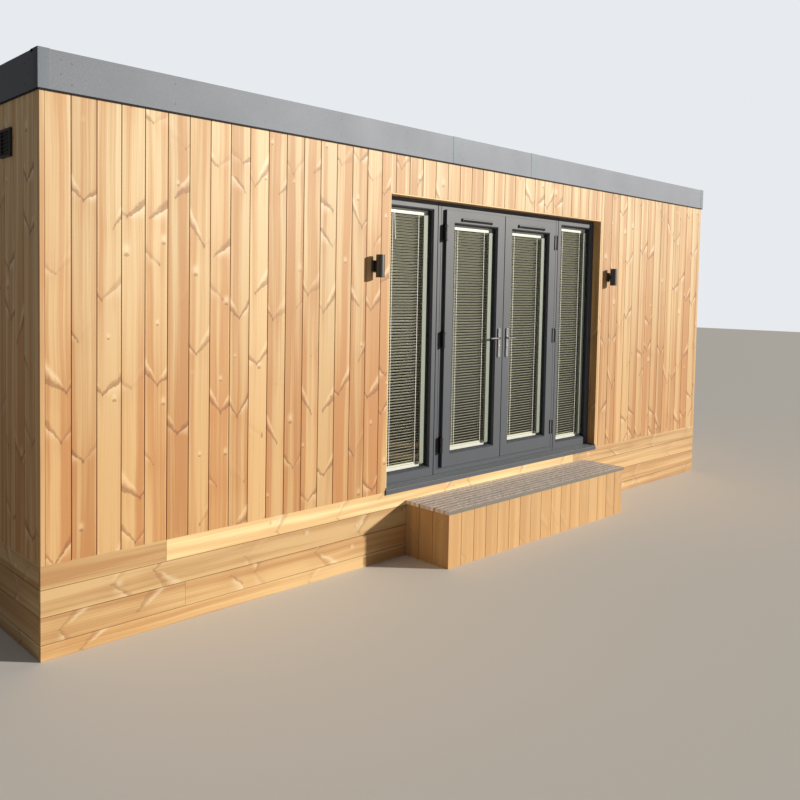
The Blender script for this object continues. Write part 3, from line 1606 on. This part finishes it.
    def hood(self) -> Object:
        """Makes the air vent: a rounded lip over a set-back grille, closed by a cap at each end."""
        d = self.door_set
        x0 = (d.flange.x0 + d.flange.x1 - self.hood_l) / 2
        x1 = x0 + self.hood_l
        face = d.flange_front
        lip_out, lip_h = self.lip
        grille_out, grille_h = self.grille
        foot = d.pane.z1 + self.hood_rise
        step = foot + grille_h
        top = step + lip_h
        near, far = x0 + self.end_cap, x1 - self.end_cap
        lip = Bench.cube("lip", (near, face - lip_out, step), (far, face, top))
        Bench.pick_edges(lip, lambda a, b: max(a.y, b.y) < face - lip_out + CLOSE and abs(a.z - b.z) < CLOSE)
        Bench.bevel(0.0035, 4)
        parts = [Bench.dress(lip, d.paints.frames)]
        back = Bench.slab("back", Rect(near, far, foot, step), face - grille_out + 0.004, face)
        fin = Rect(near, near + self.fin_t, foot + 0.001, step)
        fins = Bench.slab("fin", fin, face - grille_out, face - 0.002, 0.0004)
        Bench.repeat(fins, (self.fin_pitch, 0, 0), int((self.hood_l - 2 * self.end_cap) / self.fin_pitch))
        seal = Bench.slab("seal", Rect(x0, x1, top, top + 0.0035), face - 0.0016, face)
        parts += [Bench.dress(part, d.paints.vent) for part in (back, fins, seal)]
        for x in (x0, far):
            cap = Bench.cube("cap", (x, face - lip_out, foot), (x + self.end_cap, face, top))
            Bench.bevel_along(cap, Axis.X, 0.002, 3)
            parts.append(Bench.dress(cap, d.paints.vent))
        return Bench.join("hood", parts)

    def finish(self, left: Object, name: str, slot: str, node: str, lever: bool = False) -> None:
        """Places a left-hand piece and its mirror image.

        Args:
            left: The left-hand piece.
            name: The piece's name without its side.
            slot: The material slot.
            node: The node's name without its side.
            lever: True where the piece turns with the lever.
        """
        for piece, side in ((left, "left"), (Bench.mirrored(left), "right")):
            piece.name = piece.data.name = f"{side}_{name}"
            body = f"{side}_door" + ("_lever" if lever else "")
            Bench.hand_over(self.door_set.place(piece), body, slot, f"{side}_{node}")

    def build(self) -> None:
        """Builds every piece of both leaves."""
        d = self.door_set
        whole = Bench.join("leaf", [self.leaf(), *self.hinge_halves(True)])
        self.finish(whole, "leaf_mouldings", "door_frame", "leaf")
        lower = Bench.join("hinges", self.hinge_halves(False))
        hinges = Bench.join("frame_hinges", [lower, Bench.mirrored(lower)])
        Bench.hand_over(d.place(hinges), "cabin", "hinge", "door_hinges")
        plates = [*self.handle_plate(d.flange_front, -1), *self.handle_plate(d.leaf_back, 1)]
        self.finish(Bench.join("plates", plates), "handle_plates", "handle", "handle")
        levers = [*self.lever(d.flange_front, -1), *self.lever(d.leaf_back, 1)]
        self.finish(Bench.join("levers", levers), "lever_grips", "handle", "lever", lever=True)
        self.finish(self.hood(), "vent_hood", "vent", "vent")


@dataclass
class Blinds:
    """Slatted blinds, each in a white frame behind its glass."""

    door_set: DoorSet
    member: float = 0.025
    depth: float = 0.028
    pitch: float = 0.0215
    slat_w: float = 0.025
    slat_t: float = 0.0006
    slat_clear: float = 0.002
    crown: float = 0.0022
    tilt: float = math.radians(27.0)
    rail_h: float = 0.024
    rail_in: float = 0.016
    cord_in: float = 0.095
    cord_w: float = 0.0042
    cord_t: float = 0.0007
    clear: float = 0.0005
    tilter: tuple[float, float, float] = (0.075, 0.012, 0.0145)
    tilter_in: float = 0.140
    wand_in: float = 0.085
    wand: tuple[float, float, float] = (0.012, 0.0, -0.164)
    wand_r: float = 0.0040
    channel: tuple[float, float, float] = (0.025, 0.041, 0.024)

    def channels(self) -> None:
        """Adds the pale channel in each sealed unit, at its right as one looks at the pod."""
        d = self.door_set
        inset, wide, ahead = self.channel
        behind = d.glass_in + d.glass_t + 0.002 - ahead
        for name, body, pane, face, signs in (
            ("side_light", "cabin", d.side_pane, d.reveal, (-1, 1)),
            ("left", "left_door", d.pane, d.flange_front, (-1,)),
            ("right", "right_door", d.pane, d.flange_front, (1,)),
        ):
            parts = []
            for sign in signs:
                right = (pane.x1 if sign < 0 else -pane.x0) - inset
                strip = Rect(right - wide, right, pane.z0 + self.member, pane.z1 - self.rail_in - self.rail_h)
                parts.append(Bench.slab("channel", strip, face + behind, face + behind + 0.0015, 0.0004))
            piece = Bench.dress(Bench.join(f"{name}_channels", parts), d.paints.channel)
            Bench.hand_over(d.place(piece), body, "blind")

    def slats(self, pane: Rect, front: float) -> Object:
        """Makes one crowned slat and repeats it up the pane.

        Args:
            pane: The pane.
            front: Depth of the blind's front.

        Returns:
            The slats.
        """
        inner = pane.grown(-self.member - self.clear)
        head = pane.z1 - self.rail_in - self.rail_h
        count = int((head - inner.z0) / self.pitch - 0.3)
        low_z = head - (count - 0.3) * self.pitch
        bpy.ops.object.select_all(action="DESELECT")
        bpy.ops.mesh.primitive_grid_add(x_subdivisions=1, y_subdivisions=4, size=1.0, location=(0, 0, 0))
        bpy.context.object.scale = (inner.width - self.slat_clear, self.slat_w, 1.0)
        slat = Bench.fresh("slat")
        for share, lift in ((0.25, 0.75), (0.0, 1.0)):
            limit = self.slat_w * share
            Bench.pick_edges(slat, lambda a, b: abs(abs(a.y) - limit) < CLOSE and abs(a.y - b.y) < CLOSE)
            bpy.ops.transform.translate(value=(0, 0, self.crown * lift))
            Bench.leave()
        Bench.modifier(slat, "SOLIDIFY", thickness=self.slat_t, offset=0.0)
        slat.rotation_euler.x = -self.tilt
        Bench.move(slat, ((inner.x0 + inner.x1) / 2, front + self.depth / 2, low_z))
        Bench.repeat(slat, (0, 0, self.pitch), count)
        return Bench.dress(slat, self.door_set.paints.slats)

    def blind(self, pane: Rect, front: float, wand: bool) -> list[Object]:
        """Makes a blind for one pane.

        Args:
            pane: The pane.
            front: Depth of the blind's front.
            wand: True to hang a tilting wand at its left.

        Returns:
            The parts.
        """
        paints = self.door_set.paints
        outer = pane.grown(-self.clear)
        inner = Rect(
            pane.x0 + self.member, pane.x1 - self.member, pane.z0 + self.member, pane.z1 - self.rail_in
        )
        back = front + self.depth
        frame = Bench.ring(
            "frame", outer, front + 0.002, back - 0.001,
            [
                (outer.grown(-0.001), front + 0.001),
                (inner.grown(0.002), front + 0.001),
                (inner, front + 0.003),
            ],
            [(outer.grown(-0.001), back), (inner.grown(0.001), back), (inner, back - 0.001)],
        )
        parts = [Bench.dress(frame, paints.blind_frame), self.slats(pane, front)]
        tight = inner.grown(-self.clear)
        top = Rect(outer.x0 + 0.001, outer.x1 - 0.001, tight.z1 - self.rail_h, tight.z1)
        parts.append(Bench.dress(Bench.slab("head", top, front, back - 0.003, 0.0025), paints.blind_frame))
        foot = Rect(tight.x0 + 0.001, tight.x1 - 0.001, tight.z0 + 0.001, tight.z0 + 0.012)
        parts.append(Bench.dress(Bench.slab("foot", foot, front + 0.004, back - 0.004, 0.002), paints.slats))
        reach = math.cos(self.tilt) * self.slat_w / 2 + self.cord_t
        middle, half = front + self.depth / 2, self.cord_t / 2
        for x in (pane.x0 + self.cord_in, pane.x1 - self.cord_in):
            tape = Rect(x - self.cord_w / 2, x + self.cord_w / 2, foot.z1 - 0.002, top.z0 + 0.002)
            for y in (middle - reach, middle + reach):
                parts.append(Bench.dress(Bench.slab("cord", tape, y - half, y + half), paints.cords))
        if wand:
            wide, high, out = self.tilter
            x = pane.x1 - self.tilter_in
            box = Rect(x, x + wide, top.z1 - high, pane.z1 - 0.006)
            tilter = Bench.slab("tilter", box, front - 0.0015, front + out, 0.001)
            parts.append(Bench.dress(tilter, paints.blind_frame))
            hook = Vector((tight.x0 + self.wand_in, front + self.wand_r * 0.8, top.z0 + 0.004))
            low_end = hook + Vector(self.wand)
            rods = (
                Bench.rod("wand", hook, low_end, self.wand_r, 10),
                Bench.rod("tassel", low_end, low_end + Vector((0.001, 0, -0.03)), 0.0046, 10),
            )
            parts += [Bench.dress(rod, paints.cords) for rod in rods]
        return parts

    def build(self) -> None:
        """Builds all four blinds."""
        d = self.door_set
        self.channels()
        behind = d.glass_in + d.glass_t + 0.002
        side = Bench.join("side", self.blind(d.side_pane, d.reveal + behind, True))
        plain = Bench.join("plain", self.blind(d.side_pane, d.reveal + behind, False))
        lights = Bench.join("side_light_slats", [side, Bench.mirrored(plain)])
        bpy.data.objects.remove(plain)
        Bench.hand_over(d.place(lights), "cabin", "blind", "side_light_blinds")
        left = Bench.join("left", self.blind(d.pane, d.flange_front + behind, False))
        for piece, name in ((left, "left"), (Bench.mirrored(left), "right")):
            piece.name = piece.data.name = f"{name}_slats"
            Bench.hand_over(d.place(piece), f"{name}_door", "blind", f"{name}_blind")


@dataclass
class Lamps:
    """Two cylinder lamps that shine up and down, each on an arm from its wall plate."""

    paints: Paintbox
    radius: float = 0.030
    height: float = 0.156
    wall: float = 0.003
    lens_in: float = 0.008
    lens_t: float = 0.0035
    plate: tuple[float, float, float] = (0.060, 0.018, 0.078)
    arm: Pair = (0.030, 0.040)

    def lamp(self, middle: Vector, wall_y: float) -> Object:
        """Makes one lamp.

        Args:
            middle: The tube's middle.
            wall_y: Depth of the wall's face.

        Returns:
            The lamp.
        """
        half = Vector((0, 0, self.height / 2))
        tube = Bench.rod("tube", middle - half, middle + half, self.radius, 48, 0.0012)
        parts = [Bench.dress(tube, self.paints.lamp)]
        for sign in (-1, 1):
            Bench.pick_faces(
                tube, lambda at, normal: normal.z * sign > 0.9 and abs(at.z - middle.z) > half.z - 1e-4
            )
            bpy.ops.mesh.inset(thickness=self.wall)
            Bench.extrude((0, 0, -sign * self.lens_in))
            Bench.leave()
            at = middle + half * sign * (1 - 2 * self.lens_in / self.height)
            end = at + Vector((0, 0, sign * self.lens_t))
            lens = Bench.rod("lens", at, end, self.radius - self.wall - 0.0004, 48, 0.0015)
            parts.append(Bench.dress(lens, self.paints.lens))
        wide, thick, tall = self.plate
        plate = Bench.slab("plate", Rect.about(middle.x, middle.z, wide, tall), wall_y - thick, wall_y, 0.003)
        arm_w, arm_h = self.arm
        low = Vector((middle.x - arm_w / 2, middle.y + self.radius - 0.004, middle.z - arm_h / 2))
        arm = Bench.cube("arm", low, (low.x + arm_w, wall_y - thick + 0.001, low.z + arm_h))
        Bench.bevel_along(arm, Axis.Y, 0.004, 3)
        parts += [Bench.dress(plate, self.paints.lamp), Bench.dress(arm, self.paints.lamp)]
        foot = Vector((middle.x, middle.y + self.radius + 0.006, middle.z + arm_h / 2 - 0.0006))
        screw = Bench.rod("screw", foot, foot + Vector((0, 0, 0.0014)), 0.0025, 14, 0.0004)
        parts.append(Bench.dress(screw, self.paints.steel))
        return Bench.join("lamp", parts)

    def build(self) -> None:
        """Builds both lamps."""
        low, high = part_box("wall_lights")
        y = low.y + self.radius
        z = (low.z + high.z) / 2
        left = self.lamp(Vector((low.x + self.radius, y, z)), high.y)
        shift = high.x - low.x - 2 * self.radius
        piece = Bench.join("cylinder_lamps", [left, Bench.copy(left, (shift, 0, 0))])
        Bench.hand_over(piece, "cabin", "light", "wall_lights")


@dataclass
class LouvreVent:
    """The square louvred vent on the left end."""

    paints: Paintbox
    rim: float = 0.014
    blades: int = 6
    blade_t: float = 0.003
    blade_w: float = 0.014
    slope: float = math.radians(38.0)

    def build(self) -> None:
        """Builds the vent."""
        low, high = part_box("side_vent")
        half, depth = (high.y - low.y) / 2, high.x - low.x
        rect = Rect(-half, half, -half, half)
        hole = rect.grown(-self.rim)
        ring = Bench.ring(
            "rim", rect, 0.002, depth,
            [(rect.grown(-0.002), 0.0), (hole.grown(0.002), 0.0), (hole, 0.002)],
            [(hole, depth)],
        )
        back = Bench.slab("back", hole.grown(0.001), depth - 0.003, depth)
        pitch = hole.height / self.blades
        blade_half = self.blade_t / 2
        blade = Bench.cube("blade", (hole.x0, 0.0, -blade_half), (hole.x1, self.blade_w, blade_half))
        Bench.bevel_along(blade, Axis.X, 0.0008)
        Bench.turn(blade, self.slope, Axis.X)
        Bench.move(blade, (0, 0.0015, hole.z0 + pitch * 0.25))
        Bench.repeat(blade, (0, 0, pitch), self.blades)
        parts = [ring, back, blade]
        corner = half - self.rim / 2
        for x in (-corner, corner):
            for z in (-corner, corner):
                parts.append(Bench.rod("screw", (x, 0.001, z), (x, 0.0, z), 0.003, 14))
        for part in parts:
            Bench.dress(part, self.paints.vent)
        piece = Bench.join("louvre_vent", parts)
        Bench.turn(piece, -math.pi / 2, Axis.Z)
        Bench.move(piece, (low.x, (low.y + high.y) / 2, (low.z + high.z) / 2))
        Bench.hand_over(piece, "cabin", "vent", "side_vent")


@dataclass
class StepDeck:
    """Grooved composite boards on the step."""

    paints: Paintbox
    boards: int = 3
    width: float = 0.140
    gap: float = 0.005
    grooves: int = 6
    groove_w: float = 0.005
    groove_d: float = 0.003
    margin: float = 0.012

    def build(self) -> None:
        """Cuts the grooves of one board and copies it."""
        low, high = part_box("step_deck")
        board = Bench.cube("board", low, (high.x, low.y + self.width, high.z))
        Bench.bevel_along(board, Axis.X, 0.0025, 3)
        pitch = (self.width - 2 * self.margin - self.groove_w) / (self.grooves - 1)
        starts = [low.y + self.margin + i * pitch for i in range(self.grooves)]
        Bench.pick([board])
        bpy.ops.object.mode_set(mode="EDIT")
        for start in starts:
            for y in (start, start + self.groove_w):
                bpy.ops.mesh.select_all(action="SELECT")
                bpy.ops.mesh.bisect(plane_co=(0, y, 0), plane_no=(0, 1, 0))
        Bench.leave()
        middles = [start + self.groove_w / 2 for start in starts]
        quarter = self.groove_w / 4
        Bench.pick_faces(
            board, lambda at, normal: normal.z > 0.9 and any(abs(at.y - y) < quarter for y in middles)
        )
        Bench.extrude((0, 0, -self.groove_d))
        Bench.leave()
        others = [Bench.copy(board, (0, i * (self.width + self.gap), 0)) for i in range(1, self.boards)]
        piece = Bench.dress(Bench.join("grooved_deck", [board, *others]), self.paints.decking)
        sunk = high.z - self.groove_d / 4
        Bench.dress_where(piece, self.paints.grooves, lambda at, normal: at.z < sunk and abs(normal.x) < 0.5)
        Bench.dress_where(
            piece, self.paints.deck_edge, lambda at, normal: at.y < low.y + 0.001 and normal.y < -0.5
        )
        Bench.hand_over(piece, "cabin", "decking", "step_deck")


@dataclass
class Fascia:
    """Folded metal fascia with covers on its corners and laps, screwed to the kerb."""

    paints: Paintbox
    thickness: float = 0.012
    sunk: float = 0.0015
    top_w: float = 0.092
    top_t: float = 0.0135
    cover_w: float = 0.060
    seams: tuple[float, ...] = (-0.482, 0.482)
    seam_w: float = 0.075
    screw_r: float = 0.0042
    corner_screws: tuple[Pair, ...] = ((0.118, 0.155), (0.118, 0.085), (0.173, 0.145), (0.173, 0.040))
    first_screw: float = 0.75
    screw_pitch: float = 0.6
    screw_in: float = 0.045
    trim_t: float = 0.002
    fold: float = 0.0012
    drip: float = 0.007
    lap: float = 0.0005

    def plate(self, rect: Rect, y0: float, y1: float, finish: Material, round_off: float = 0.8) -> Object:
        """Makes a plate between two depths, with the edges of its outer surface folded round."""
        return Bench.dress(Bench.slab("plate", rect, y0, y1, min(self.fold, (y1 - y0) * round_off)), finish)

    def screw(self, x: float, y: float, z: float) -> Object:
        """Makes a screw's head on the face."""
        start, end = (x, y + 0.002, z), (x, y - self.sunk + 0.0001, z)
        return Bench.dress(Bench.rod("screw", start, end, self.screw_r, 12, 0.0006), self.paints.trim)

    def cover(self, rect: Rect, out: float, capped: bool = True) -> list[Object]:
        """Makes a cover over the face, and over the top too where it is capped, drawn on a front."""
        back = self.sunk + self.trim_t
        made = [self.plate(rect, -out, -out + back, self.paints.trim)]
        if capped:
            top = Rect(rect.x0, rect.x1, rect.z1 - back, rect.z1)
            made.append(self.plate(top, -out + 0.0004, self.top_w - out, self.paints.trim, 0.0))
        return made

    def side(self, half: float, z0: float, z1: float, out: float, seams: Place, through: bool) -> Object:
        """Makes one side with its covers and screws, drawn as a front.

        Args:
            half: Half of its length, to the outside of the corners.
            z0: Its foot.
            z1: Its top.
            out: How far its outer surface stands from the middle.
            seams: The places of its laps.
            through: True where its top runs through the corners.

        Returns:
            The side.
        """
        y, back, top = -out + self.sunk, -out + self.thickness, z1 - self.sunk
        end = half - self.sunk
        foot = z0 + self.drip - self.lap
        reach = end if through else half - self.top_w
        flange = Rect(-reach, reach, top - self.top_t, top)
        parts = [
            self.plate(Rect(-end, end, foot + 0.0004, top), y, back, self.paints.fascia),
            self.plate(Rect(-end, end, z0, z0 + self.drip), y + 0.001, back, self.paints.black, 0.0),
            self.plate(flange, back - 0.0002, self.top_w - out, self.paints.fascia, 0.0),
        ]
        for middle in seams:
            seam = Rect(middle - self.seam_w / 2, middle + self.seam_w / 2, foot + 0.0002, z1 - 0.0002)
            parts += self.cover(seam, out)
        for sign in (-1, 1):
            shape = Rect(*sorted((sign * half, sign * (half - self.cover_w))), foot, z1)
            parts += self.cover(shape, out, through)
            parts += [self.screw(sign * (half - inwards), y, foot + up) for inwards, up in self.corner_screws]
        place = -half + self.first_screw
        while place < half - 0.5:
            parts += [self.screw(place, y, z) for z in (foot + self.screw_in, z1 - self.screw_in)]
            place += self.screw_pitch
        return Bench.join("side", parts)

    def build(self) -> None:
        """Builds all four sides."""
        low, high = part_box("front_fascia")
        front = self.side(high.x, low.z, high.z, -low.y, self.seams, True)
        back = Bench.turn(Bench.copy(front), math.pi, Axis.Z)
        left = self.side(-low.y, low.z, high.z, high.x, (), False)
        right = Bench.turn(Bench.copy(left), math.pi / 2, Axis.Z)
        Bench.turn(left, -math.pi / 2, Axis.Z)
        for name, sides, node in (
            ("front_fascia_trim", [front], "front_fascia"),
            ("back_fascia_trim", [back], "back_fascia"),
            ("end_fascia_trims", [left, right], "end_fascias"),
        ):
            Bench.hand_over(Bench.join(name, sides), "cabin", "fascia", node)


@dataclass
class Lining:
    """Timber boards round the doorway and the square strips on the cabin's corners."""

    shop: BoardShop
    paints: Paintbox
    thickness: float = 0.010
    clear: float = 0.0003
    strip_w: float = 0.025

    def build(self) -> None:
        """Builds the lining and the corner strips."""
        low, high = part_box("door_lining")
        thick = self.thickness
        made = [self.shop.board((low.x, low.y, high.z - thick), high, Axis.X, Axis.Z)]
        for x in (low.x, high.x - thick):
            near, far = (x, low.y, low.z), (x + thick, high.y, high.z - thick - self.clear)
            made.append(self.shop.board(near, far, Axis.Z, Axis.X))
        piece = Bench.dress(Bench.join("door_lining_boards", made), self.paints.lining)
        Bench.dress_where(piece, self.paints.fresh, lambda middle, normal: normal.y < -0.5)
        Bench.hand_over(piece, "cabin", "lining", "door_lining")
        low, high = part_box("corner_strips")
        made = []
        for x in (low.x, high.x - self.strip_w):
            for y in (low.y, high.y - self.strip_w):
                near, far = (x, y, low.z), (x + self.strip_w, y + self.strip_w, high.z)
                made.append(self.shop.board(near, far, Axis.Z, Axis.Y))
        piece = Bench.dress(Bench.join("corner_strip_boards", made), self.paints.strips)
        Bench.hand_over(piece, "cabin", "cladding", "corner_strips")


@dataclass
class RoofSheet:
    """The roof's membrane with its laps and the strips turned up against the kerb."""

    paints: Paintbox
    laps: tuple[float, ...] = (-1.75, 0.0, 1.75)
    lap_w: float = 0.060
    raised: float = 0.0015
    turn_up: float = 0.004
    thickness: float = 0.004
    fall: float = 0.050

    def build(self) -> None:
        """Builds the sheet."""
        low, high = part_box("roof_membrane")
        top = low.z + self.thickness
        parts = [Bench.cube("sheet", low, (high.x, high.y, top))]
        for x in self.laps:
            far = (x + self.lap_w, high.y, top + self.raised)
            parts.append(Bench.cube("lap", (x, low.y, top), far))
        sheet = Bench.join("sheet", parts)
        Bench.pick_edges(sheet, lambda a, b: max(a.y, b.y) < low.y + CLOSE)
        bpy.ops.transform.translate(value=(0, 0, self.fall))
        Bench.leave()
        parts = [sheet]
        up = self.turn_up
        for x in (low.x, high.x - up):
            parts.append(Bench.cube("upstand", (x, low.y, top), (x + up, high.y, high.z)))
        for y in (low.y, high.y - up):
            parts.append(Bench.cube("upstand", (low.x, y, top), (high.x, y + up, high.z)))
        piece = Bench.dress(Bench.join("membrane_sheet", parts), self.paints.membrane)
        Bench.hand_over(piece, "cabin", "membrane", "roof_membrane")


@dataclass(frozen=True)
class Viewpoint:
    """The camera, fitted to the photograph."""

    place: Vector = Vector((-5.1426, -5.7316, 1.9213))
    heading: float = math.radians(45.506)
    dip: float = math.radians(2.890)
    roll: float = math.radians(1.093)
    focal_px: float = 824.0
    centre_px: Pair = (399.9, 333.0)
    frame_px: float = 800.0
    sensor_mm: float = 36.0

    def build(self) -> None:
        """Makes the camera and gives it to the scene."""
        lens = bpy.data.cameras.new("camera")
        lens.sensor_width = self.sensor_mm
        lens.lens = self.sensor_mm * self.focal_px / self.frame_px
        lens.shift_x = (self.frame_px / 2 - self.centre_px[0]) / self.frame_px
        lens.shift_y = (self.centre_px[1] - self.frame_px / 2) / self.frame_px
        lens.clip_start, lens.clip_end = 0.05, 300.0
        level = math.cos(self.dip)
        ahead = Vector((level * math.cos(self.heading), level * math.sin(self.heading), -math.sin(self.dip)))
        right = Vector((math.sin(self.heading), -math.cos(self.heading), 0.0))
        upward = right.cross(ahead)
        rolled_right = right * math.cos(self.roll) + upward * math.sin(self.roll)
        rolled_up = upward * math.cos(self.roll) - right * math.sin(self.roll)
        camera = bpy.data.objects.new("camera", lens)
        turn = Matrix((rolled_right, rolled_up, -ahead)).transposed()
        camera.matrix_world = Matrix.Translation(self.place) @ turn.to_4x4()
        bpy.context.scene.collection.objects.link(camera)
        bpy.context.scene.camera = camera


@dataclass(frozen=True)
class Studio:
    """A pale floor, a low sun-like key from the right and an even fill."""

    floor_half: float = 45.0
    floor_colour: Colour = (0.71, 0.705, 0.69)
    key_from: Vector = Vector((0.655, -0.689, 0.27))
    key_strength: float = 4.55
    key_colour: Colour = (1.0, 0.93, 0.82)
    key_spread: float = math.radians(2.5)
    fill_strength: float = 0.145
    fill_colour: Colour = (0.96, 0.95, 0.96)
    backdrop_colour: Colour = (0.80, 0.83, 0.86)

    def build(self) -> None:
        """Lays the floor and sets the lights."""
        bpy.ops.object.select_all(action="DESELECT")
        bpy.ops.mesh.primitive_plane_add(size=2 * self.floor_half, location=(0, 0, 0))
        floor = bpy.context.object
        floor.name = "studio_floor"
        sheet = NodeSheet("studio_floor")
        floor.data.materials.append(sheet.finish(Base_Color=self.floor_colour, Roughness=0.9))
        key = bpy.data.lights.new("key", "SUN")
        key.energy, key.color, key.angle = self.key_strength, self.key_colour, self.key_spread
        lamp = bpy.data.objects.new("key", key)
        lamp.rotation_mode = "QUATERNION"
        lamp.rotation_quaternion = (-self.key_from).to_track_quat("-Z", "Y")
        bpy.context.scene.collection.objects.link(lamp)
        world = bpy.data.worlds.new("studio")
        world.use_nodes = True
        tree = world.node_tree
        sky = tree.nodes["Background"]
        sky.inputs["Color"].default_value = (*self.fill_colour, 1.0)
        sky.inputs["Strength"].default_value = self.fill_strength
        backdrop = tree.nodes.new("ShaderNodeBackground")
        backdrop.inputs["Color"].default_value = (*self.backdrop_colour, 1.0)
        seen = tree.nodes.new("ShaderNodeLightPath").outputs["Is Camera Ray"]
        either = tree.nodes.new("ShaderNodeMixShader")
        for target, value in zip(either.inputs, (seen, sky.outputs[0], backdrop.outputs[0])):
            tree.links.new(value, target)
        tree.links.new(either.outputs[0], tree.nodes["World Output"].inputs["Surface"])
        bpy.context.scene.world = world
        bpy.context.scene.view_settings.view_transform = "Standard"


@dataclass
class FrameFinishes:
    """Gives each of the frame's own nodes its finish."""

    nodes: dict[str, Object]
    paints: Paintbox

    def build(self) -> None:
        """Assigns the finishes."""
        paints = self.paints
        walls = (
            "back_wall", "left_wall", "right_wall", "front_wall_left", "front_wall_right", "front_wall_head"
        )
        finishes = {
            paints.structure: ("floor_bearers", "step_frame"),
            paints.floor: ("floor_panel",),
            paints.plaster: (*walls, "roof_panel"),
            paints.glass: ("side_light_glass", "left_glass", "right_glass"),
        }
        for material, names in finishes.items():
            for name in names:
                Bench.dress(self.nodes[name], material)


def main() -> None:
    """Builds the pod's looks around its frame."""
    logging.basicConfig(level=logging.INFO, format="%(name)s: %(message)s")
    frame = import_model()
    Viewpoint().build()
    Studio().build()
    paints = Paintbox()
    FrameFinishes(frame["nodes"], paints).build()
    shop = BoardShop()
    for part in (Cladding, Skirting, StepRisers, Lining):
        part(shop, paints).build()
    shop.clear()
    door_set = DoorSet(paints)
    door_set.fixed_frame()
    for part in (Sill, DoorLeaves, Blinds):
        part(door_set).build()
    for part in (Lamps, LouvreVent, StepDeck, Fascia, RoofSheet):
        part(paints).build()


if __name__ == "__main__":
    main()
